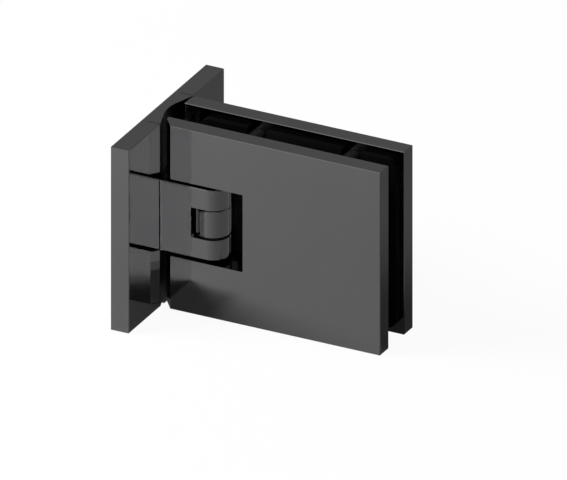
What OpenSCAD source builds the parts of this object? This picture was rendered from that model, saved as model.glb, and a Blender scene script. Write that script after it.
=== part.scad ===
// Glass door hinge, wall to glass at 90 degrees, opening outwards.
// +X points away from the wall, -Y is the side that the door opens to, +Z is up.
// The origin is the centre of the wall plate's back face.

/* [Wall plate] */
// Height of the wall plate and of both clamp plates
plate_h = 65; // [60:0.5:90]
// Width of the wall plate along the wall
wall_w = 67; // [62:0.5:90]
// Thickness of the wall plate with its covers
wall_t = 6.5; // [6:0.1:8]
// Thickness of the base's rim, which the covers stand on
rim_t = 1.8; // [1.4:0.1:2.2]
// Thickness of the base's pads under the covers
pad_t = 4.2; // [3.8:0.1:4.4]
// Depth of the hollow that gives the clamp room to turn
scoop_d = 3; // [1.6:0.1:3.4]
// Radius of the hollow's rounded bottom
scoop_r = 15; // [12:0.5:20]
// Gap between a cover and the middle of the base
seam_gap = 0.25; // [0.1:0.05:0.4]

/* [Covers] */
// Side walls of a cover
cover_wall = 1.2; // [0.8:0.1:1.6]
// Face of a cover
cover_skin = 1.2; // [0.8:0.1:1.4]
// Clearance between a cover and the base's pad
cover_fit = 0.2; // [0.1:0.05:0.3]
// Depth of the hook rib inside a cover's top wall
hook_d = 0.7; // [0.5:0.1:1]
// Thickness of the hook rib
hook_t = 0.8; // [0.6:0.1:1]
// Distance of the hook rib from the rim
hook_rise = 0.5; // [0.4:0.1:0.8]
// Diameter of the grub screw in a cover's bottom wall
grub_d = 2; // [1.6:0.2:2.4]
// Length of that grub screw
grub_len = 5; // [4:0.5:8]

/* [Wall screws] */
// Diameter of the holes for the wall screws
wall_hole_d = 5.5; // [4.5:0.1:6]
// Diameter of a wall screw's countersunk head
wall_head_d = 9.6; // [9:0.1:10]
// Distance of a wall screw from the plate's top or bottom edge
wall_hole_edge = 12.5; // [10:0.5:16]

/* [Clamp] */
// Length of the clamp plates away from the wall
clamp_len = 78.9; // [74:0.1:110]
// Thickness of the front clamp plate
front_t = 6; // [5.5:0.1:7]
// Thickness of the back clamp plate
back_t = 6; // [5.5:0.1:7]
// How far the clamp plates reach into the wall plate's hollow
clamp_in = 0.1; // [0:0.05:0.3]
// Chamfer on the outer edges of the plates
edge_c = 0.2; // [0.1:0.05:0.4]
// Bevel on the front plate's wall end, along X
bevel_x = 3.7; // [2:0.1:4]
// Bevel on the front plate's wall end, along Y
bevel_y = 4.8; // [3:0.1:5]
// Bevel on the back plate's wall end, along X
back_bevel_x = 0.9; // [0.6:0.1:2]
// Bevel on the back plate's wall end, along Y
back_bevel_y = 2.9; // [2:0.1:4]

/* [Glass slot] */
// Thickness of the glass that the clamp holds
glass_t = 6; // [6:0.5:10]
// Thickness of each gasket
gasket_t = 2.5; // [1:0.1:3]
// Distance of the gaskets from the plates' top and bottom edges
gasket_edge = 2.6; // [1.5:0.1:3]
// Distance of the gaskets from the plates' free end
gasket_end = 1.7; // [1:0.1:3]
// Distance of the gaskets from the wall plate
gasket_start = 6.5; // [4:0.5:10]
// Radius of the gaskets' corners
gasket_r = 3.6; // [2:0.1:5]

/* [Pivot] */
// Distance of the pivot axis from the wall plate's inner face
pivot_reach = 16.2; // [15:0.1:20]
// Diameter of the knuckle, and the thickness of the arm
knuckle_d = 11.2; // [10.4:0.1:12]
// Height of the arm and of the hinge block behind it
arm_h = 24.9; // [22:0.1:27]
// Height of the slot between the arm's two ears
window_h = 10.6; // [9:0.1:12]
// Gap between the barrel's surface and the bottom of that slot
slot_relief = 2.06; // [1:0.02:3]
// Gap above and below the arm in the front plate's cut-out
arm_gap = 1.25; // [0.8:0.05:2]
// Gap between the knuckle and the cut-out's far edge
swing_gap = 7.7; // [5:0.1:12]
// Diameter of the hinge pin
pin_d = 6; // [5:0.1:6.4]
// Metal that closes the pin's bore at the top of the arm
pin_roof = 1.5; // [1:0.1:3]
// Gap between the pin's head end and that metal
pin_gap = 0.2; // [0.1:0.1:0.5]
// Distance of the pin's foot above the arm's underside
pin_foot = 0.4; // [0.2:0.1:1]
// Chamfer on the edges of the arm and the pin
arm_c = 0.3; // [0.1:0.05:0.5]
// Chamfer on the rims of the barrel between the ears
barrel_c = 0.5; // [0.2:0.1:0.8]
// Running clearance between the pin and its bushes, on the radius
run_fit = 0.05; // [0.02:0.01:0.08]
// Outer diameter of the bushes
bush_d = 8; // [7.6:0.1:8.6]
// Diameter of the bushes' collars
collar_d = 10.4; // [9.4:0.1:10.8]
// Thickness of the bushes' collars
collar_t = 0.45; // [0.3:0.05:0.6]

/* [Hinge block] */
// Length of the block's full-thickness part
block_len = 15.4; // [12:0.1:22]
// Gap between the block's full part and the cut-out's far edge
block_step = 0.6; // [0.2:0.1:2]
// Reach of the block's tongue past the pivot axis, towards the wall
tongue_reach = 6.5; // [5:0.1:7]
// Gap between the arm's back and the tongue
tongue_gap = 0.5; // [0.3:0.05:1]
// Width of the neck between the barrel and the tongue
neck_w = 8; // [6:0.1:9]
// Radius of the block's corners
block_r = 2; // [1:0.1:3]
// Gap between the block and the gaskets around it
notch_gap = 1.5; // [0.5:0.1:2]

/* [Screws] */
// Thread diameter of the machine screws
screw_d = 5; // [4:0.1:5.2]
// Head diameter of the machine screws
head_d = 9; // [8:0.1:9.4]
// Depth of the heads below the surface
head_sink = 0.2; // [0.1:0.05:0.4]
// Width across flats of the screws' hexagon sockets
socket_af = 3; // [2:0.1:3.4]
// Depth of the sockets
socket_d = 1.8; // [1.2:0.1:2]
// Length of the screws that hold the arm
arm_screw_len = 12; // [8:0.5:13]
// Distance of the clamp screws from the plates' top and bottom edges
screw_edge = 6.5; // [6:0.1:8]
// Distance of the first clamp screws from the plates' wall end
screw_start = 27.1; // [24:0.1:30]
// Distance of the last clamp screws from the plates' free end
screw_end = 18; // [8:0.1:20]
// Distance of the two block screws from each other
block_pitch = 14; // [12:0.5:15]
// Metal that closes the blind holes at the front plate's face
blind_floor = 1.2; // [0.8:0.1:2]
// Gap between a screw's end and the bottom of its hole
screw_slack = 0.5; // [0.3:0.1:1]
// Outer diameter of the sleeves around the clamp screws
sleeve_d = 6.6; // [6.4:0.1:8]

/* [Hidden] */
$fn = 96;

// Small clearances and overrun
over = 1;
thread_fit = 0.03;
hole_fit = 0.25;
press_fit = 0.01;
sleeve_fit = 0.1;

// Levels of the clamp along Y
slot_w = glass_t + 2*gasket_t;
clamp_t = front_t + slot_w + back_t;
front_y = -clamp_t/2;
front_in = front_y + front_t;
back_in = front_in + slot_w;
back_y = back_in + back_t;

// Ends of the clamp along X
clamp_x0 = wall_t - clamp_in;
clamp_x1 = clamp_x0 + clamp_len;

// Pivot axis and what turns round it
knuckle_r = knuckle_d/2;
pivot_x = wall_t + pivot_reach;
pivot_y = front_y + knuckle_r;
slot_r = knuckle_r + slot_relief;
ear_h = (arm_h - window_h)/2;
ear_z = (window_h + ear_h)/2;
pin_r = pin_d/2;
barrel_h = window_h - 2*(collar_t + run_fit);
cut_x = pivot_x + knuckle_r + swing_gap;
cut_h = arm_h + 2*arm_gap;

// Hinge block
block_x0 = cut_x + block_step;
block_x1 = block_x0 + block_len;
tongue_x0 = pivot_x - tongue_reach;
tongue_y = pivot_y + knuckle_r + tongue_gap;

// Screws
arm_screw_z = ear_z;
block_screw_x = (block_x0 + block_x1)/2;
clamp_screw_z = plate_h/2 - screw_edge;
near_x = clamp_x0 + screw_start;
far_x = clamp_x1 - screw_end;
blind_y = front_y + blind_floor;
clamp_screw_len = back_y - head_sink - blind_y - screw_slack;
block_screw_len = back_in - head_sink - blind_y - screw_slack;

// Wall plate
half_h = plate_h/2;
cover_y0 = clamp_t/2 + seam_gap;
cover_y1 = wall_w/2;
pad_y0 = cover_y0 + cover_wall + cover_fit;
pad_y1 = cover_y1 - cover_wall - cover_fit;
pad_mid = (pad_y0 + pad_y1)/2;
pad_z = half_h - cover_wall - cover_fit;
wall_hole_z = half_h - wall_hole_edge;
cover_in = wall_t - cover_skin;
hook_x = rim_t + hook_rise;
grub_x = (rim_t + cover_in)/2;
scoop_x = wall_t - scoop_d + scoop_r;
scoop_w = clamp_t/2;
// The flanks rise a touch flatter than the tangent, so that each meets the bottom in one edge
flank_ease = 0.3;
flank_a = atan2(scoop_w, scoop_r - scoop_d)
    - acos(scoop_r/norm([scoop_w, scoop_r - scoop_d])) - flank_ease;
flank_d = (scoop_r - scoop_d)*cos(flank_a) + scoop_w*sin(flank_a);

graphite = [0.27, 0.27, 0.28];
graphite_dark = [0.20, 0.20, 0.21];
steel = [0.55, 0.55, 0.56];
rubber = [0.05, 0.05, 0.05];
nylon = [0.09, 0.09, 0.09];

// A flat outline in X and Z, thick from y0 to y1
module along_y(y0, y1) {
    translate([0, y1, 0]) rotate([90, 0, 0]) linear_extrude(y1 - y0) children();
}

// A flat outline in Y and Z, thick from x0 to x1
module along_x(x0, x1) {
    translate([x0, 0, 0]) rotate([90, 0, 90]) linear_extrude(x1 - x0) children();
}

// A flat outline in X and Y, thick from z0 to z1
module along_z(z0, z1) {
    translate([0, 0, z0]) linear_extrude(z1 - z0) children();
}

module rect(a0, a1, b0, b1) {
    translate([a0, b0]) square([a1 - a0, b1 - b0]);
}

// A rectangle with its four corners cut off
module cut_rect(a0, a1, b0, b1, c) {
    polygon([[a0 + c, b0], [a1 - c, b0], [a1, b0 + c], [a1, b1 - c],
             [a1 - c, b1], [a0 + c, b1], [a0, b1 - c], [a0, b0 + c]]);
}

// A rectangle with its four corners rounded
module round_rect(a0, a1, b0, b1, r) {
    rect(a0 + r, a1 - r, b0, b1);
    rect(a0, a1, b0 + r, b1 - r);
    for (a = [a0 + r, a1 - r], b = [b0 + r, b1 - r]) translate([a, b]) circle(r);
}

// A round bar along Z, centred, with chamfered rims
module rod(d, h, c) {
    rotate_extrude() polygon([[0, -h/2], [d/2 - c, -h/2], [d/2, -h/2 + c],
                              [d/2, h/2 - c], [d/2 - c, h/2], [0, h/2]]);
}

// A countersunk screw with a hexagon socket, its head's face at z = 0, pointing down
module flat_screw(len) {
    cone_h = (head_d - screw_d)/2;
    difference() {
        union() {
            translate([0, 0, -cone_h]) cylinder(h = cone_h, d1 = screw_d, d2 = head_d);
            translate([0, 0, -len]) cylinder(h = len - cone_h, d = screw_d);
        }
        translate([0, 0, -socket_d])
            cylinder(h = socket_d + over, d = socket_af/cos(30), $fn = 6);
    }
}

// The hole that such a screw passes through, from a face at z = 0
module flat_hole(hole_d, top_d, depth, sink) {
    cone_h = (top_d - hole_d)/2 + sink;
    translate([0, 0, -depth]) cylinder(h = depth + over, d = hole_d);
    translate([0, 0, -cone_h])
        cylinder(h = cone_h + over, d1 = hole_d, d2 = hole_d + 2*(cone_h + over));
}

// Turns a screw or a hole so that its head faces -X or +Y
module head_to_wall() { rotate([0, -90, 0]) children(); }
module head_to_back() { rotate([-90, 0, 0]) children(); }

// The upright hollow in the wall plate, centred on the glass
module scoop() {
    foot = [scoop_x - flank_d*cos(flank_a), flank_d*sin(flank_a)];
    wide = scoop_w + over*cos(flank_a);
    lip = wall_t + over*sin(flank_a);
    translate([scoop_x, 0, 0])
        cylinder(h = plate_h + 2*over, r = scoop_r, center = true, $fn = 180);
    along_z(-half_h - over, half_h + over) polygon([
        [foot[0], -foot[1]], [lip, -wide], [scoop_x + scoop_r, -wide],
        [scoop_x + scoop_r, wide], [lip, wide], foot]);
}

// One pad of the base, with its wall screw holes and the boss for the grub screw
module base_pad() {
    difference() {
        union() {
            along_x(0, pad_t) rect(pad_y0, pad_y1, -pad_z, pad_z);
            along_x(rim_t, cover_in - cover_fit)
                rect(pad_mid - 2*grub_d, pad_mid + 2*grub_d, -pad_z, -pad_z + grub_len + over);
        }
        along_x(hook_x - cover_fit, hook_x + hook_t + cover_fit)
            rect(pad_y0 - over, pad_y1 + over, pad_z - hook_d, pad_z + over);
    }
}

module wall_base() {
    color(graphite) difference() {
        union() {
            along_x(0, rim_t) rect(-wall_w/2, wall_w/2, -half_h, half_h);
            difference() {
                along_x(0, wall_t) rect(-clamp_t/2, clamp_t/2, -half_h, half_h);
                scoop();
            }
            base_pad();
            mirror([0, 1, 0]) base_pad();
        }
        for (y = [-pad_mid, pad_mid], z = [-wall_hole_z, wall_hole_z])
            translate([pad_t, y, z]) rotate([0, 90, 0])
                flat_hole(wall_hole_d, wall_head_d, pad_t + over, 0);
        for (z = [-arm_screw_z, arm_screw_z])
            translate([0, pivot_y, z]) head_to_wall()
                flat_hole(screw_d + hole_fit, head_d, wall_t + over, head_sink);
        for (y = [-pad_mid, pad_mid])
            translate([grub_x, y, -half_h + head_sink])
                cylinder(h = grub_len + screw_slack, d = grub_d + 2*thread_fit);
    }
}

// A hollow cover on the +Y side, open towards the wall
module cover() {
    difference() {
        intersection() {
            along_z(-half_h, half_h) polygon([[rim_t, cover_y0], [wall_t, cover_y0],
                [wall_t, cover_y1 - edge_c], [wall_t - edge_c, cover_y1], [rim_t, cover_y1]]);
            along_y(cover_y0, cover_y1) polygon([[rim_t, -half_h], [wall_t - edge_c, -half_h],
                [wall_t, -half_h + edge_c], [wall_t, half_h - edge_c],
                [wall_t - edge_c, half_h], [rim_t, half_h]]);
        }
        difference() {
            along_x(rim_t - over, cover_in)
                rect(cover_y0 + cover_wall, cover_y1 - cover_wall,
                     -half_h + cover_wall, half_h - cover_wall);
            along_x(hook_x, hook_x + hook_t)
                rect(pad_y0, pad_y1, pad_z + cover_fit - hook_d, half_h);
        }
        translate([grub_x, pad_mid, -half_h - over])
            cylinder(h = cover_wall + 2*over, d = grub_d + hole_fit);
    }
}

module front_cover() {
    color(graphite) mirror([0, 1, 0]) cover();
}

module back_cover() {
    color(graphite) cover();
}

// The grub screw that holds a cover, s is the cover's side of the glass
module cover_screw(s) {
    color(steel) translate([grub_x, s*pad_mid, -half_h + head_sink]) difference() {
        cylinder(h = grub_len, d = grub_d);
        translate([0, 0, -over]) cylinder(h = over + grub_d/2, d = grub_d/2, $fn = 6);
    }
}

// The arm: a bar that follows the scoop at its root and ends in two ears round the pin
module hinge_arm() {
    color(graphite) difference() {
        union() {
            intersection() {
                along_x(0, pivot_x)
                    cut_rect(front_y, front_y + knuckle_d, -arm_h/2, arm_h/2, arm_c);
                scoop();
            }
            translate([pivot_x, pivot_y, 0]) rod(knuckle_d, arm_h, arm_c);
        }
        translate([pivot_x, pivot_y, 0]) cylinder(h = window_h, r = slot_r, center = true);
        translate([pivot_x, pivot_y, -arm_h/2 - over])
            cylinder(h = arm_h - pin_roof + over, r = pin_r + press_fit);
        for (z = [-arm_screw_z, arm_screw_z])
            translate([0, pivot_y, z]) rotate([0, 90, 0])
                cylinder(h = head_sink + arm_screw_len + screw_slack, d = screw_d + 2*thread_fit);
        translate([wall_t, front_y, 0]) rotate([0, 0, 45])
            cube([2*arm_c, 2*arm_c, arm_h + over], center = true);
    }
}

// A screw from the wall side into the arm, s is +1 for the upper one
module arm_screw(s) {
    color(steel) translate([head_sink, pivot_y, s*arm_screw_z]) head_to_wall()
        flat_screw(arm_screw_len);
}

module hinge_pin() {
    z0 = -arm_h/2 + pin_foot;
    z1 = arm_h/2 - pin_roof - pin_gap;
    color(steel) translate([pivot_x, pivot_y, (z0 + z1)/2]) rod(pin_d, z1 - z0, arm_c);
}

// A flanged bush between the pin and the barrel, s is +1 for the upper one
module bush(s) {
    color(nylon) translate([pivot_x, pivot_y, 0]) mirror([0, 0, s > 0 ? 0 : 1]) difference() {
        union() {
            translate([0, 0, press_fit]) cylinder(h = barrel_h/2, d = bush_d);
            translate([0, 0, barrel_h/2]) cylinder(h = collar_t, d = collar_d);
        }
        translate([0, 0, -over]) cylinder(h = window_h, r = pin_r + run_fit);
    }
}

// The door's half of the knuckle: barrel, neck, tongue and the part in the glass's notch
module hinge_block() {
    color(graphite_dark) difference() {
        union() {
            translate([pivot_x, pivot_y, 0]) rod(knuckle_d, barrel_h, barrel_c);
            along_z(-barrel_h/2 + barrel_c, barrel_h/2 - barrel_c)
                rect(pivot_x - neck_w/2, pivot_x + neck_w/2, pivot_y, tongue_y + over);
            along_y(tongue_y, back_in)
                round_rect(tongue_x0, block_x1, -arm_h/2, arm_h/2, block_r);
            intersection() {
                along_y(front_in, back_in)
                    round_rect(tongue_x0, block_x1, -arm_h/2, arm_h/2, block_r);
                along_y(front_in, back_in) rect(block_x0, block_x1, -arm_h/2, arm_h/2);
            }
        }
        translate([pivot_x, pivot_y, 0])
            cylinder(h = window_h, d = bush_d + 2*press_fit, center = true);
        for (z = [-block_pitch/2, block_pitch/2])
            translate([block_screw_x, back_in, z]) head_to_back()
                flat_hole(screw_d + hole_fit, head_d, slot_w + over, head_sink);
    }
}

// A screw from the block into the front plate, s is +1 for the upper one
module block_screw(s) {
    color(steel) translate([block_screw_x, back_in - head_sink, s*block_pitch/2]) head_to_back()
        flat_screw(block_screw_len);
}

// A plate from x0 to x1 with every outer edge chamfered
module plate(y0, y1) {
    intersection() {
        along_x(clamp_x0, clamp_x1) cut_rect(y0, y1, -half_h, half_h, edge_c);
        along_y(y0, y1) cut_rect(clamp_x0, clamp_x1, -half_h, half_h, edge_c);
        along_z(-half_h, half_h) cut_rect(clamp_x0, clamp_x1, y0, y1, edge_c);
    }
}

module front_clamp_plate() {
    color(graphite) difference() {
        plate(front_y, front_in);
        along_z(-half_h - over, half_h + over) polygon([
            [clamp_x0 - over, front_y - over], [clamp_x0 + bevel_x, front_y - over],
            [clamp_x0 + bevel_x, front_y], [clamp_x0, front_y + bevel_y],
            [clamp_x0 - over, front_y + bevel_y]]);
        along_y(front_y - over, front_in + over)
            rect(clamp_x0 - over, cut_x, -cut_h/2, cut_h/2);
        for (x = [near_x, far_x], z = [-clamp_screw_z, clamp_screw_z])
            translate([x, blind_y, z]) head_to_back()
                cylinder(h = front_t, d = screw_d + 2*thread_fit);
        for (z = [-block_pitch/2, block_pitch/2])
            translate([block_screw_x, blind_y, z]) head_to_back()
                cylinder(h = front_t, d = screw_d + 2*thread_fit);
    }
}

module back_clamp_plate() {
    color(graphite) difference() {
        plate(back_in, back_y);
        along_z(-half_h - over, half_h + over) polygon([
            [clamp_x0 - over, back_y + over], [clamp_x0 + back_bevel_x, back_y + over],
            [clamp_x0 + back_bevel_x, back_y], [clamp_x0, back_y - back_bevel_y],
            [clamp_x0 - over, back_y - back_bevel_y]]);
        for (x = [near_x, far_x], z = [-clamp_screw_z, clamp_screw_z])
            translate([x, back_y, z]) head_to_back()
                flat_hole(screw_d + hole_fit, head_d, back_t + over, head_sink);
    }
}

// A gasket between two levels, open round the block and at the clamp screws
module gasket(y0, y1) {
    gx0 = wall_t + gasket_start;
    gz = half_h - gasket_edge;
    notch_z = arm_h/2 + notch_gap;
    slot_half = sleeve_d/2 + sleeve_fit;
    color(rubber) along_y(y0, y1) difference() {
        round_rect(gx0, clamp_x1 - gasket_end, -gz, gz, gasket_r);
        round_rect(gx0 - 2*block_r - over, block_x1 + notch_gap, -notch_z, notch_z, block_r);
        for (x = [near_x, far_x], s = [-1, 1]) {
            translate([x, s*clamp_screw_z]) circle(slot_half);
            rect(x - slot_half, x + slot_half, min(s*clamp_screw_z, s*half_h),
                 max(s*clamp_screw_z, s*half_h));
        }
    }
}

module front_gasket() {
    gasket(front_in, front_in + gasket_t);
}

module back_gasket() {
    gasket(back_in - gasket_t, back_in);
}

// A clamp screw at one column, s is +1 for the top row
module clamp_screw(x, s) {
    color(steel) translate([x, back_y - head_sink, s*clamp_screw_z]) head_to_back()
        flat_screw(clamp_screw_len);
}

// A plastic sleeve that keeps the glass off a clamp screw
module screw_sleeve(x, s) {
    color(nylon) translate([0, 0, s*clamp_screw_z]) along_y(front_in, back_in) translate([x, 0])
        difference() {
            circle(d = sleeve_d);
            circle(d = screw_d + 2*sleeve_fit);
        }
}

wall_base();
front_cover();
back_cover();
cover_screw(-1);  // front_cover_screw
cover_screw(1);  // back_cover_screw
hinge_arm();
arm_screw(1);  // upper_arm_screw
arm_screw(-1);  // lower_arm_screw
hinge_pin();
front_clamp_plate();
back_clamp_plate();
front_gasket();
back_gasket();
hinge_block();
bush(1);  // upper_bush
bush(-1);  // lower_bush
block_screw(1);  // upper_block_screw
block_screw(-1);  // lower_block_screw
clamp_screw(near_x, 1);  // clamp_screw_top_near
clamp_screw(far_x, 1);  // clamp_screw_top_far
clamp_screw(near_x, -1);  // clamp_screw_bottom_near
clamp_screw(far_x, -1);  // clamp_screw_bottom_far
screw_sleeve(near_x, 1);  // screw_sleeve_top_near
screw_sleeve(far_x, 1);  // screw_sleeve_top_far
screw_sleeve(near_x, -1);  // screw_sleeve_bottom_near
screw_sleeve(far_x, -1);  // screw_sleeve_bottom_far
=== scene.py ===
import math

import bpy
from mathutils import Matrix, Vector


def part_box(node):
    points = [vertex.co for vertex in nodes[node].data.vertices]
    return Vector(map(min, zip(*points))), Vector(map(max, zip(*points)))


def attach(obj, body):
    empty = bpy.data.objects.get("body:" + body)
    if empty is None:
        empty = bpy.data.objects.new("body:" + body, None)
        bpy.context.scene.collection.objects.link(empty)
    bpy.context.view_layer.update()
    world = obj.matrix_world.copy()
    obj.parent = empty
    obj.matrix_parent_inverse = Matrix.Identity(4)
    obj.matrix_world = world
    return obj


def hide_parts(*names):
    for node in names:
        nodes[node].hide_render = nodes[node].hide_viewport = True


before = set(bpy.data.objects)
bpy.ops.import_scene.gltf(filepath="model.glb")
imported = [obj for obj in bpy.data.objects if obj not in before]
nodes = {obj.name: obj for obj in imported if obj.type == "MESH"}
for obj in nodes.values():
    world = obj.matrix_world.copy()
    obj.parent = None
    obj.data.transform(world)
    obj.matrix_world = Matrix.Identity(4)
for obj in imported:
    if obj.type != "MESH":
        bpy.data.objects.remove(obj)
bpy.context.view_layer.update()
mm = 0.001
print("frame loaded:", len(nodes), "nodes")


def addObject(name, data):
    o = bpy.data.objects.new(name, data)
    bpy.context.scene.collection.objects.link(o)
    return o


def direction(azimuth, elevation):
    # out from the hinge: azimuth 0 is its front, at -Y
    a, e = math.radians(azimuth), math.radians(elevation)
    return Vector((math.sin(a) * math.cos(e), -math.cos(a) * math.cos(e), math.sin(e)))


def lookInwards(o, place, out):
    # a camera or a lamp looks along its own -Z
    o.location = place
    o.rotation_euler = (-out).to_track_quat("-Z", "Y").to_euler()


# the picture is a parallel view; degrees and metres
camera = {"azimuth": 27.0, "elevation": 26.1, "width": 0.18106, "aim": (0.04480, 0.0, -0.00529),
          "away": 0.5, "clip": (0.01, 10)}


def makeCamera(c):
    data = bpy.data.cameras.new("camera")
    data.type = "ORTHO"
    data.ortho_scale = c["width"]
    data.clip_start, data.clip_end = c["clip"]
    cam = addObject("camera", data)
    back = direction(c["azimuth"], c["elevation"])
    lookInwards(cam, Vector(c["aim"]) + back * c["away"], back)
    bpy.context.scene.camera = cam


# short ways to place and join nodes

def feed(t, socket, value):
    # from another node's output, or as the input's own value
    if isinstance(value, bpy.types.NodeSocket):
        t.links.new(value, socket)
    else:
        socket.default_value = value


def addNode(t, kind, inputs, **settings):
    n = t.nodes.new(kind)
    for key, value in settings.items():
        setattr(n, key, value)
    for socket, value in inputs.items():
        feed(t, n.inputs[socket], value)
    return n


def calc(t, operation, a, b=None, c=None, clamp=False):
    inputs = {i: v for i, v in enumerate((a, b, c)) if v is not None}
    return addNode(t, "ShaderNodeMath", inputs, operation=operation, use_clamp=clamp).outputs[0]


def mapRange(t, value, start, end, interpolation="LINEAR"):
    inputs = {"Value": value, "From Min": start[0], "From Max": start[1],
              "To Min": end[0], "To Max": end[1]}
    return addNode(t, "ShaderNodeMapRange", inputs, interpolation_type=interpolation).outputs["Result"]


def mixed(t, kind, factor, a, b):
    # a Mix node has its own sockets for numbers and for colours
    first, second, result = {"FLOAT": (2, 3, 0), "RGBA": (6, 7, 2)}[kind]
    return addNode(t, "ShaderNodeMix", {0: factor, first: a, second: b}, data_type=kind).outputs[result]


def along(t, vector, axis):
    return addNode(t, "ShaderNodeSeparateXYZ", {"Vector": vector}).outputs[axis]


def dotProduct(t, a, b):
    return addNode(t, "ShaderNodeVectorMath", {0: a, 1: b}, operation="DOT_PRODUCT").outputs["Value"]


def makeTree(name, kind, inputs, outputs):
    t = bpy.data.node_groups.new(name, kind)
    for way, sockets in (("INPUT", inputs), ("OUTPUT", outputs)):
        for label, sort in sockets.items():
            t.interface.new_socket(name=label, in_out=way, socket_type="NodeSocket" + sort)
    return t, t.nodes.new("NodeGroupInput").outputs, t.nodes.new("NodeGroupOutput").inputs


# shader groups, built once and used by several materials

def makeSurfaceGrain():
    # a slow wave, as on polished plate, under a fine grain
    t, size, out = makeTree("surfaceGrain", "ShaderNodeTree", {
        "Vector": "Vector", "Wave Scale": "Float", "Grain Scale": "Float", "Grain Share": "Float",
    }, {"Height": "Float", "Tone": "Float"})
    layers = []
    for scale, detail in (("Wave Scale", 1.5), ("Grain Scale", 2.0)):
        inputs = {"Vector": size["Vector"], "Scale": size[scale], "Detail": detail}
        layers.append(addNode(t, "ShaderNodeTexNoise", inputs).outputs["Fac"])
    feed(t, out["Height"], mixed(t, "FLOAT", size["Grain Share"], *layers))
    feed(t, out["Tone"], layers[0])
    return t


def makeInsideBox():
    # 1 within the box, 0 outside it, with an eased border
    t, size, out = makeTree("insideBox", "ShaderNodeTree", {
        "Vector": "Vector", "Low": "Vector", "High": "Vector", "Ease": "Float"}, {"Mask": "Float"})
    parts = [addNode(t, "ShaderNodeSeparateXYZ", {"Vector": size[name]}).outputs
             for name in ("Vector", "Low", "High")]
    mask = 1.0
    for axis in "XYZ":
        place, low, high = (part[axis] for part in parts)
        for above, below in ((place, low), (high, place)):
            over = calc(t, "SUBTRACT", above, below)
            share = calc(t, "DIVIDE", over, size["Ease"], clamp=True)
            mask = calc(t, "MULTIPLY", share, mask)
    feed(t, out["Mask"], mask)
    return t


surfaceGrain = makeSurfaceGrain()
insideBox = makeInsideBox()


def placeGroup(t, group, inputs):
    return addNode(t, "ShaderNodeGroup", inputs, node_tree=group).outputs


def boxMask(t, place, box):
    low, high = ([v * mm for v in box[end]] for end in ("low", "high"))
    inputs = {"Vector": place, "Low": low, "High": high, "Ease": box["ease"] * mm}
    return placeGroup(t, insideBox, inputs)["Mask"]


# the finishes: colour, roughness and its spread, bump height in mm, scales per metre
graphite = {"color": 0.112, "roughness": 0.07, "spread": 0.02, "bump": 0.004, "wave": 60.0,
            "grain": 2600.0, "share": 0.02, "toneSpread": 0.03, "gloss": 0.5}
darkSteel = {"color": 0.16, "roughness": 0.24, "spread": 0.08, "bump": 0.004, "wave": 300.0,
             "grain": 5000.0, "share": 0.5, "toneSpread": 0.10, "gloss": 0.5}
rubber = {"color": 0.003, "roughness": 0.75, "spread": 0.1, "bump": 0.02, "wave": 400.0,
          "grain": 4000.0, "share": 0.5, "toneSpread": 0.2, "gloss": 0.01}
nylon = {"color": 0.004, "roughness": 0.38, "spread": 0.08, "bump": 0.006, "wave": 300.0,
         "grain": 3500.0, "share": 0.5, "toneSpread": 0.15, "gloss": 0.06}
# every colour is a grey with a touch more blue
tint = (1.0, 1.0, 1.02)
# painted shade: the wall plate's hollow, which the light hardly reaches, is painted a dull black; places
# in mm
hollow = {"low": (1.0, -11.42, -32.42), "high": (6.42, 11.42, 32.42), "ease": 0.1,
          "color": 0.012, "roughness": 0.4}
# painted shade: so is the hinge block behind its barrel, painted the same dull black
shadePaintBehindBarrel = {"low": (15.0, -0.9, -13.0), "high": (53.0, 6.0, 13.0), "ease": 0.1,
                "color": 0.012, "roughness": 0.4}


def finishMaterial(name, s, metallic, paintedShade=None):
    m = bpy.data.materials.new(name)
    m.use_nodes = True
    t = m.node_tree
    place = t.nodes.new("ShaderNodeTexCoord").outputs["Object"]
    grain = placeGroup(t, surfaceGrain, {
        "Vector": place, "Wave Scale": s["wave"], "Grain Scale": s["grain"], "Grain Share": s["share"]})
    smoothest, roughest = (s["roughness"] + k * s["spread"] for k in (-1, 1))
    roughness = mapRange(t, grain["Tone"], (0.0, 1.0), (smoothest, roughest))
    darkest, lightest = (s["color"] * (1 + k * s["toneSpread"]) for k in (-1, 1))
    ends = [(*(level * share for share in tint), 1) for level in (darkest, lightest)]
    color = mixed(t, "RGBA", grain["Tone"], *ends)
    # painted shade: inside the box the colour turns a dull black, and the roughness changes with it
    if paintedShade:
        mask = boxMask(t, place, paintedShade)
        color = mixed(t, "RGBA", mask, color, (paintedShade["color"], paintedShade["color"], paintedShade["color"], 1))
        roughness = mixed(t, "FLOAT", mask, roughness, paintedShade["roughness"])
    bump = addNode(t, "ShaderNodeBump", {
        "Strength": 1.0, "Distance": s["bump"] * mm, "Height": grain["Height"]})
    surface = {"Metallic": metallic, "Specular IOR Level": s["gloss"], "Base Color": color,
               "Roughness": roughness, "Normal": bump.outputs["Normal"]}
    principled = t.nodes["Principled BSDF"]
    for label, value in surface.items():
        feed(t, principled.inputs[label], value)
    return m


graphiteMetal = finishMaterial("graphiteMetal", graphite, 1.0)
# the next two carry painted shade: the wall plate's hollow and the block behind its barrel are painted
# dull black
hollowShadePaintedMetal = finishMaterial("hollowShadePaintedMetal", graphite, 1.0, hollow)
blockShadePaintedMetal = finishMaterial("blockShadePaintedMetal", graphite, 1.0, shadePaintBehindBarrel)
steelMetal = finishMaterial("darkSteel", darkSteel, 1.0)
gasketRubber = finishMaterial("gasketRubber", rubber, 0.0)
blackNylon = finishMaterial("blackNylon", nylon, 0.0)

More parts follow.
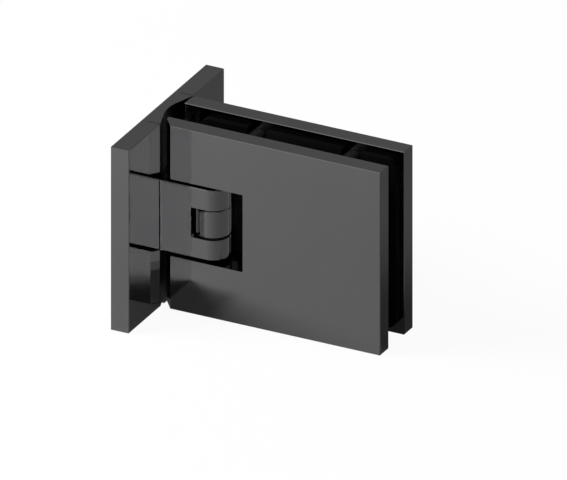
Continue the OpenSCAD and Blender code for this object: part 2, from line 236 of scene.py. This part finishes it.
for name, o in nodes.items():
    m = graphiteMetal
    if name == "wall_base":
        m = hollowShadePaintedMetal
    elif name == "hinge_block":
        m = blockShadePaintedMetal
    elif "gasket" in name:
        m = gasketRubber
    elif "bush" in name or "sleeve" in name:
        m = blackNylon
    elif "screw" in name or name == "hinge_pin":
        m = steelMetal
    o.data.materials.clear()
    o.data.materials.append(m)
print("finishes made")

# how made pieces are finished: points this close, in mm, are one, and edges over this angle stay sharp
making = {"weld": 0.002, "sharpAngle": 35}


def bake(holder, name):
    # the evaluated shape as a plain mesh object
    bpy.context.view_layer.update()
    evaluated = holder.evaluated_get(bpy.context.evaluated_depsgraph_get())
    mesh = bpy.data.meshes.new_from_object(evaluated)
    mesh.name = name
    piece = addObject(name, mesh)
    bpy.data.objects.remove(holder)
    mesh.shade_smooth()
    mesh.set_sharp_from_angle(angle=math.radians(making["sharpAngle"]))
    return piece


# screws: one profile swept round, with a fine thread and a hexagon socket; all sizes in mm
countersunkScrew = {"Head Radius": 4.5, "Head Height": 2.0, "Thread Radius": 2.5, "Pitch": 0.8,
                    "Thread Depth": 0.3, "Socket Half Width": 1.5, "Socket Depth": 1.8, "Edge": 0.12}
grubScrew = {"Head Radius": 1.0, "Head Height": 0.15, "Thread Radius": 1.0, "Pitch": 0.4,
             "Thread Depth": 0.15, "Socket Half Width": 0.45, "Socket Depth": 1.0, "Edge": 0.06}
# the sweep's mesh: faces round it, rows besides the thread's own, the row where the thread starts and
# the rows over which it fades in and out
sweep = {"around": 36, "endRows": 9, "threadStart": 2.0, "fadeRows": 4.0}
# the tip's bevel as a share of the thread's depth, and the head's rounding as a share of its edge
ending = {"tipBevel": 1.3, "headRound": 0.4}


def makeScrewTree():
    t, s, out = makeTree("threadedScrew", "GeometryNodeTree", {
        "Head Radius": "Float", "Head Height": "Float", "Thread Radius": "Float", "Length": "Float",
        "Pitch": "Float", "Thread Depth": "Float", "Socket Half Width": "Float",
        "Socket Depth": "Float", "Edge": "Float", "Thread Rows": "Int", "First Place": "Vector",
        "Column Step": "Vector", "Columns": "Int", "Row Step": "Vector", "Rows": "Int",
        "Turn": "Vector", "Material": "Material"}, {"Geometry": "Geometry"})
    t.is_modifier = True

    # a flat sheet: across it the angle grows, and along it the row
    sheet = addNode(t, "GeometryNodeMeshGrid", {
        "Size X": 1.0, "Size Y": 1.0, "Vertices X": sweep["around"] + 1,
        "Vertices Y": calc(t, "ADD", s["Thread Rows"], sweep["endRows"])})
    here = t.nodes.new("GeometryNodeInputPosition").outputs["Position"]
    turnShare = calc(t, "ADD", along(t, here, "X"), 0.5)
    angle = calc(t, "MULTIPLY", turnShare, 2 * math.pi)
    lastRow = calc(t, "ADD", s["Thread Rows"], sweep["endRows"] - 1)
    row = calc(t, "MULTIPLY", calc(t, "ADD", along(t, here, "Y"), 0.5), lastRow)
    threadEnd = calc(t, "ADD", s["Thread Rows"], sweep["threadStart"])

    # the hexagon's radius at this angle
    sixth = calc(t, "SUBTRACT", calc(t, "WRAP", angle, math.pi / 3, 0.0), math.pi / 6)
    hexRadius = calc(t, "DIVIDE", s["Socket Half Width"], calc(t, "COSINE", sixth))

    tip, neck, bevel, hole = (
        calc(t, "MULTIPLY", s[name], -1.0) for name in ("Length", "Head Height", "Edge", "Socket Depth"))
    tipBevel = calc(t, "MULTIPLY", s["Thread Depth"], ending["tipBevel"])
    headRound = calc(t, "MULTIPLY", s["Edge"], ending["headRound"])
    # the profile from the tip's centre to the socket's floor: row, radius, height
    profile = [
        (0.0, 0.0, tip),
        (1.0, calc(t, "SUBTRACT", s["Thread Radius"], tipBevel), tip),
        (sweep["threadStart"], s["Thread Radius"], calc(t, "ADD", tip, tipBevel)),
        (threadEnd, s["Thread Radius"], neck),
    ]
    # the head, one row after another: radius, height
    headEnd = [
        (calc(t, "SUBTRACT", s["Head Radius"], headRound), calc(t, "MULTIPLY", headRound, -1.0)),
        (calc(t, "SUBTRACT", s["Head Radius"], s["Edge"]), 0.0),
        (calc(t, "ADD", hexRadius, s["Edge"]), 0.0),
        (hexRadius, bevel),
        (hexRadius, hole),
        (0.0, calc(t, "SUBTRACT", hole, s["Edge"])),
    ]
    for i, (radius, height) in enumerate(headEnd):
        profile.append((calc(t, "ADD", threadEnd, i + 1.0), radius, height))

    def onProfile(k):
        total = profile[0][k]
        for one, two in zip(profile, profile[1:]):
            share = mapRange(t, row, (one[0], two[0]), (0.0, 1.0))
            total = calc(t, "MULTIPLY_ADD", share, calc(t, "SUBTRACT", two[k], one[k]), total)
        return total

    # the thread's groove falls and rises once in each pitch
    plain, height = onProfile(1), onProfile(2)
    phase = calc(t, "SUBTRACT", calc(t, "DIVIDE", height, s["Pitch"]), turnShare)
    groove = calc(t, "MULTIPLY", calc(t, "PINGPONG", phase, 0.5), 2.0)
    fade = 1 / sweep["fadeRows"]
    fadeIn = calc(t, "MULTIPLY_ADD", row, fade, -fade * sweep["threadStart"], clamp=True)
    fadeOut = calc(t, "MULTIPLY", calc(t, "SUBTRACT", threadEnd, row), fade, clamp=True)
    depth = calc(t, "MULTIPLY", groove, s["Thread Depth"])
    cut = calc(t, "MULTIPLY", depth, calc(t, "MULTIPLY", fadeIn, fadeOut))
    radius = calc(t, "SUBTRACT", plain, cut)
    place = addNode(t, "ShaderNodeCombineXYZ", {
        "X": calc(t, "MULTIPLY", radius, calc(t, "COSINE", angle)),
        "Y": calc(t, "MULTIPLY", radius, calc(t, "SINE", angle)), "Z": height})
    shape = addNode(t, "GeometryNodeSetPosition", {
        "Geometry": sheet.outputs["Mesh"], "Position": place.outputs["Vector"]})
    screw = addNode(t, "GeometryNodeMergeByDistance", {
        "Geometry": shape.outputs["Geometry"], "Distance": making["weld"] * mm})

    # the places: a line of columns, with a line of rows at each
    columns = addNode(t, "GeometryNodeMeshLine", {
        "Count": s["Columns"], "Start Location": s["First Place"], "Offset": s["Column Step"]})
    rows = addNode(t, "GeometryNodeMeshLine", {"Count": s["Rows"], "Offset": s["Row Step"]})
    grid = addNode(t, "GeometryNodeInstanceOnPoints", {
        "Points": columns.outputs["Mesh"], "Instance": rows.outputs["Mesh"]})
    places = addNode(t, "GeometryNodeRealizeInstances", {"Geometry": grid.outputs["Instances"]})
    rotation = addNode(t, "FunctionNodeEulerToRotation", {0: s["Turn"]})
    screws = addNode(t, "GeometryNodeInstanceOnPoints", {
        "Points": places.outputs["Geometry"], "Instance": screw.outputs["Geometry"],
        "Rotation": rotation.outputs["Rotation"]})
    real = addNode(t, "GeometryNodeRealizeInstances", {"Geometry": screws.outputs["Instances"]})
    coat = addNode(t, "GeometryNodeSetMaterial", {
        "Geometry": real.outputs["Geometry"], "Material": s["Material"]})
    feed(t, out["Geometry"], coat.outputs["Geometry"])
    return t


screwTree = makeScrewTree()


def growPiece(name, tree, values):
    holder = addObject(name + "Tree", bpy.data.meshes.new(name + "Tree"))
    change = holder.modifiers.new("tree", "NODES")
    change.node_group = tree
    sockets = {i.name: i.identifier for i in tree.interface.items_tree if i.in_out == "INPUT"}
    for label, value in values.items():
        change[sockets[label]] = value
    return bake(holder, name)


# where the heads face: the screws' turn, and the axis and end of a CAD screw's box that its head fills
toBack = {"turn": (-math.pi / 2, 0.0, 0.0), "axis": 1, "end": 1}
toWall = {"turn": (0.0, -math.pi / 2, 0.0), "axis": 0, "end": 0}
toFloor = {"turn": (math.pi, 0.0, 0.0), "axis": 2, "end": 0}


def centre(name):
    low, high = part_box(name)
    return (Vector(low) + Vector(high)) / 2


def makeScrews(name, body, kind, facing, group):
    # corners names the first node, the next along the columns and the next along the rows
    first, beside, above = (centre(n) for n in group["corners"])
    face = first.copy()
    face[facing["axis"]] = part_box(group["corners"][0])[facing["end"]][facing["axis"]]
    values = {label: size * mm for label, size in kind.items()}
    values.update({
        "Length": group["length"] * mm, "Thread Rows": group["threadRows"], "First Place": face,
        "Column Step": beside - first, "Columns": group["columns"], "Row Step": above - first,
        "Rows": group["rows"], "Turn": facing["turn"], "Material": steelMetal})
    piece = growPiece(name, screwTree, values)
    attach(piece, body)
    print(piece.name, len(piece.data.polygons), "faces")
    return piece


clampScrewGroup = {
    "length": 21.1, "threadRows": 126, "columns": 2, "rows": 2,
    "corners": ("clamp_screw_bottom_near", "clamp_screw_bottom_far", "clamp_screw_top_near")}
clampScrews = makeScrews("clampScrews", "door_clamp", countersunkScrew, toBack, clampScrewGroup)
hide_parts("clamp_screw_bottom_near", "clamp_screw_bottom_far",
            "clamp_screw_top_near", "clamp_screw_top_far")

blockScrewGroup = {
    "length": 15.1, "threadRows": 90, "columns": 1, "rows": 2,
    "corners": ("lower_block_screw", "lower_block_screw", "upper_block_screw")}
blockScrews = makeScrews("blockScrews", "door_clamp", countersunkScrew, toBack, blockScrewGroup)
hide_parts("lower_block_screw", "upper_block_screw")

armScrewGroup = {
    "length": 12.0, "threadRows": 66, "columns": 1, "rows": 2,
    "corners": ("lower_arm_screw", "lower_arm_screw", "upper_arm_screw")}
armScrews = makeScrews("armScrews", "wall_side", countersunkScrew, toWall, armScrewGroup)
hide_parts("lower_arm_screw", "upper_arm_screw")

coverScrewGroup = {
    "length": 5.0, "threadRows": 64, "columns": 1, "rows": 2,
    "corners": ("back_cover_screw", "back_cover_screw", "front_cover_screw")}
coverScrews = makeScrews("coverScrews", "wall_side", grubScrew, toFloor, coverScrewGroup)
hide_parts("back_cover_screw", "front_cover_screw")

# soft parts get rounded edges: edge radius in mm
softEdges = {"front_gasket": 0.3, "back_gasket": 0.3, "screw_sleeve_top_near": 0.2,
             "screw_sleeve_top_far": 0.2, "screw_sleeve_bottom_near": 0.2,
             "screw_sleeve_bottom_far": 0.2, "upper_bush": 0.1, "lower_bush": 0.1}
# the steps in a rounded edge, and the angle over which an edge is rounded
rounding = {"steps": 3, "angle": 40}


def roundedCopy(node, name, radius, body):
    holder = addObject(name + "Plain", nodes[node].data.copy())
    weld = holder.modifiers.new("weld", "WELD")
    weld.merge_threshold = making["weld"] * mm
    soften = holder.modifiers.new("edges", "BEVEL")
    soften.width = radius * mm
    soften.segments = rounding["steps"]
    soften.limit_method = "ANGLE"
    soften.angle_limit = math.radians(rounding["angle"])
    piece = bake(holder, name)
    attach(piece, body)
    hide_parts(node)


for node, radius in softEdges.items():
    words = node.split("_")
    name = words[0] + "".join(w.capitalize() for w in words[1:])
    roundedCopy(node, name, radius, "door_clamp")
print("soft parts rounded")

# what the world and the floor share: how much of the plain white the metal sees, and how much
# stronger both are where they are seen through two mirrorings
mirroring = {"glossLift": 0.06, "secondGain": 5.2}


def mirroredTimes(t, times):
    # 1 for a ray that metal has mirrored so many times, 0 for any other
    path = t.nodes.new("ShaderNodeLightPath").outputs
    right = calc(t, "COMPARE", path["Glossy Depth"], times, 0.5)
    return calc(t, "MULTIPLY", right, path["Is Glossy Ray"])


def secondGain(t):
    return calc(t, "MULTIPLY_ADD", mirroredTimes(t, 2.0), mirroring["secondGain"] - 1.0, 1.0)


def backgroundShare(t, cameraShare):
    # how much of the plain white shows: in the camera, and a little in metal and glass
    path = t.nodes.new("ShaderNodeLightPath").outputs
    other = calc(t, "ADD", path["Is Glossy Ray"], path["Is Transmission Ray"])
    gloss = calc(t, "MULTIPLY", other, mirroring["glossLift"])
    direct = calc(t, "MULTIPLY", path["Is Camera Ray"], cameraShare)
    return calc(t, "ADD", gloss, direct)


# the world is bright on the side that "front" points to and dim on the other, and "turn" is
# where it changes; soft light from it is weaker than what the metal mirrors
sky = {"front": (-0.45, -0.89, 0.0), "turn": (-0.5, 0.5), "backLevel": 0.361, "frontLevel": 0.659,
       "diffuse": 0.33}


def makeWorld(s):
    world = bpy.data.worlds.new("studio")
    world.use_nodes = True
    bpy.context.scene.world = world
    t = world.node_tree
    t.nodes.clear()
    path = t.nodes.new("ShaderNodeLightPath").outputs
    outwards = t.nodes.new("ShaderNodeTexCoord").outputs["Generated"]
    forward = dotProduct(t, outwards, Vector(s["front"]).normalized())
    level = mapRange(t, forward, s["turn"], (s["backLevel"], s["frontLevel"]), "SMOOTHSTEP")
    diffuse = calc(t, "MULTIPLY_ADD", path["Is Diffuse Ray"], s["diffuse"] - 1.0, 1.0)
    gain = calc(t, "MULTIPLY", diffuse, secondGain(t))
    plain = calc(t, "MULTIPLY", level, gain)
    strength = mixed(t, "FLOAT", backgroundShare(t, 1.0), plain, 1.0)
    back = addNode(t, "ShaderNodeBackground", {"Color": (1, 1, 1, 1), "Strength": strength})
    addNode(t, "ShaderNodeOutputWorld", {"Surface": back.outputs["Background"]})


# a pale floor that is white to the camera, in mm; what the metal mirrors of it is darker in three
# ways: behind the hinge, in the corner between the wall plate and the clamp, and towards the right
floorLook = {
    "height": -32.55, "size": 6000.0, "color": 0.9, "cameraLift": 0.95,
    "turn": (-14.0, -2.0), "backLevel": 0.30,
    # painted shadow: the corner box darkens the floor where the metal mirrors it
    "corner": {"low": (-2.0, -33.0, -45.0), "high": (28.0, -4.0, -20.0), "ease": 6.0, "level": 0.6},
    # the fade: an axis for the way back from the floor to the metal, from where to where on it the
    # fade goes, and what it adds to the tone at both ends; "ahead" leaves out rays that run backwards
    "rightward": (-0.985, 0.174, 0.0), "rightFrom": (-0.19, 0.887), "rightTo": (0.0, -0.48),
    "ahead": -0.2,
    "under": {"low": (3.0, -8.7, -40.0), "high": (6.6, 11.5, -20.0), "ease": 0.3},
}


def floorTone(t, s, place):
    glossy = t.nodes.new("ShaderNodeLightPath").outputs["Is Glossy Ray"]
    turn = mapRange(t, along(t, place, "Y"), [v * mm for v in s["turn"]], (0.0, s["backLevel"] - 1.0),
                    "SMOOTHSTEP")
    behind = calc(t, "MULTIPLY_ADD", turn, glossy, 1.0)
    # painted shadow: the floor in the corner between the wall plate and the clamp is darker as the metal
    # sees it
    dim = calc(t, "MULTIPLY", boxMask(t, place, s["corner"]), glossy)
    corner = calc(t, "MULTIPLY_ADD", dim, s["corner"]["level"] - 1.0, 1.0)
    dimmed = calc(t, "MULTIPLY", behind, corner)
    # the fade to the right is only in the first mirroring, in front of the metal
    ray = t.nodes.new("ShaderNodeNewGeometry").outputs["Incoming"]
    fade = mapRange(t, dotProduct(t, ray, s["rightward"]), s["rightFrom"], s["rightTo"])
    forward = calc(t, "GREATER_THAN", along(t, ray, "Y"), s["ahead"])
    chosen = calc(t, "MULTIPLY", forward, mirroredTimes(t, 1.0))
    faded = calc(t, "MULTIPLY_ADD", fade, chosen, 1.0)
    turned = calc(t, "MULTIPLY", dimmed, faded)
    return calc(t, "MULTIPLY", turned, secondGain(t))


def makeFloor(s):
    half, z = s["size"] * mm / 2, s["height"] * mm
    mesh = bpy.data.meshes.new("floor")
    corners = [(-half, -half, z), (half, -half, z), (half, half, z), (-half, half, z)]
    mesh.from_pydata(corners, [], [(0, 1, 2, 3)])
    floor = addObject("floor", mesh)
    m = bpy.data.materials.new("floor")
    m.use_nodes = True
    t = m.node_tree
    t.nodes.clear()
    place = t.nodes.new("ShaderNodeTexCoord").outputs["Object"]
    color = calc(t, "MULTIPLY", floorTone(t, s, place), s["color"])
    paint = addNode(t, "ShaderNodeBsdfDiffuse", {"Color": color})
    # no white under the wall plate's hollow, where the floor lies in shadow
    lift = calc(t, "MULTIPLY_ADD", boxMask(t, place, s["under"]), -s["cameraLift"], s["cameraLift"])
    glow = t.nodes.new("ShaderNodeEmission")
    mix = addNode(t, "ShaderNodeMixShader", {
        0: backgroundShare(t, lift), 1: paint.outputs["BSDF"], 2: glow.outputs["Emission"]})
    addNode(t, "ShaderNodeOutputMaterial", {"Surface": mix.outputs["Shader"]})
    m.cycles.emission_sampling = "NONE"
    mesh.materials.append(m)


# a soft lamp on the left, and a weak one higher up that draws the edges; degrees, metres, watts
lamps = {
    "keyLamp": {"azimuth": -61, "elevation": 40, "away": 1.2, "size": (0.74, 0.34), "power": 20.2},
    "edgeLamp": {"azimuth": -43, "elevation": 53, "away": 1.2, "size": (0.35, 0.35), "power": 0.2},
}


def makeLamp(name, s):
    data = bpy.data.lights.new(name, "AREA")
    data.shape = "ELLIPSE"
    data.size, data.size_y = s["size"]
    data.energy = s["power"]
    out = direction(s["azimuth"], s["elevation"])
    lookInwards(addObject(name, data), out * s["away"], out)


# small cards that put light where the metal's parts mirror each other: two corners in mm, radiance
cards = {
    "knuckleCard": {"from": (30.8, -10.25, -13.6), "to": (30.8, -0.2, 13.6), "radiance": 0.46},
    "barrelCard": {"from": (16.85, -8.3, -5.1), "to": (16.85, -11.48, 5.2), "radiance": 0.27},
    "neckCard": {"from": (30.7, -1.0, -7.6), "to": (26.8, -1.0, 13.0), "radiance": 0.15},
    "lowNeckCard": {"from": (28.9, -1.0, -13.3), "to": (26.8, -1.0, -7.6), "radiance": 0.045},
    "upperBevelCard": {"from": (10.06, -11.53, 13.9), "to": (8.03, -8.89, 32.3), "radiance": 0.47},
    "lowerBevelCard": {"from": (10.06, -11.53, -17.5), "to": (8.03, -8.89, -13.9), "radiance": 0.42},
    "dimBevelCard": {"from": (10.06, -11.53, -20.5), "to": (8.03, -8.89, -17.5), "radiance": 0.24},
    "footBevelCard": {"from": (10.06, -11.53, -32.3), "to": (8.03, -8.89, -20.5), "radiance": 0.08},
}


def makeCard(name, c):
    low, high = Vector(c["from"]) * mm, Vector(c["to"]) * mm
    across = Vector((high.x - low.x, high.y - low.y, 0.0))
    data = bpy.data.lights.new(name, "AREA")
    data.shape = "RECTANGLE"
    data.size, data.size_y = across.length, high.z - low.z
    data.energy = c["radiance"] * math.pi * data.size * data.size_y
    card = addObject(name, data)
    card.location = (low + high) / 2
    # it shines along its own -Z, and its Y stays upright
    behind = across.normalized().cross(Vector((0, 0, 1)))
    card.rotation_euler = behind.to_track_quat("Z", "Y").to_euler()
    card.visible_camera = False


makeCamera(camera)
makeWorld(sky)
makeFloor(floorLook)
for name, lamp in lamps.items():
    makeLamp(name, lamp)
for name, card in cards.items():
    makeCard(name, card)
bpy.context.scene.view_settings.view_transform = "Standard"
print("studio set")
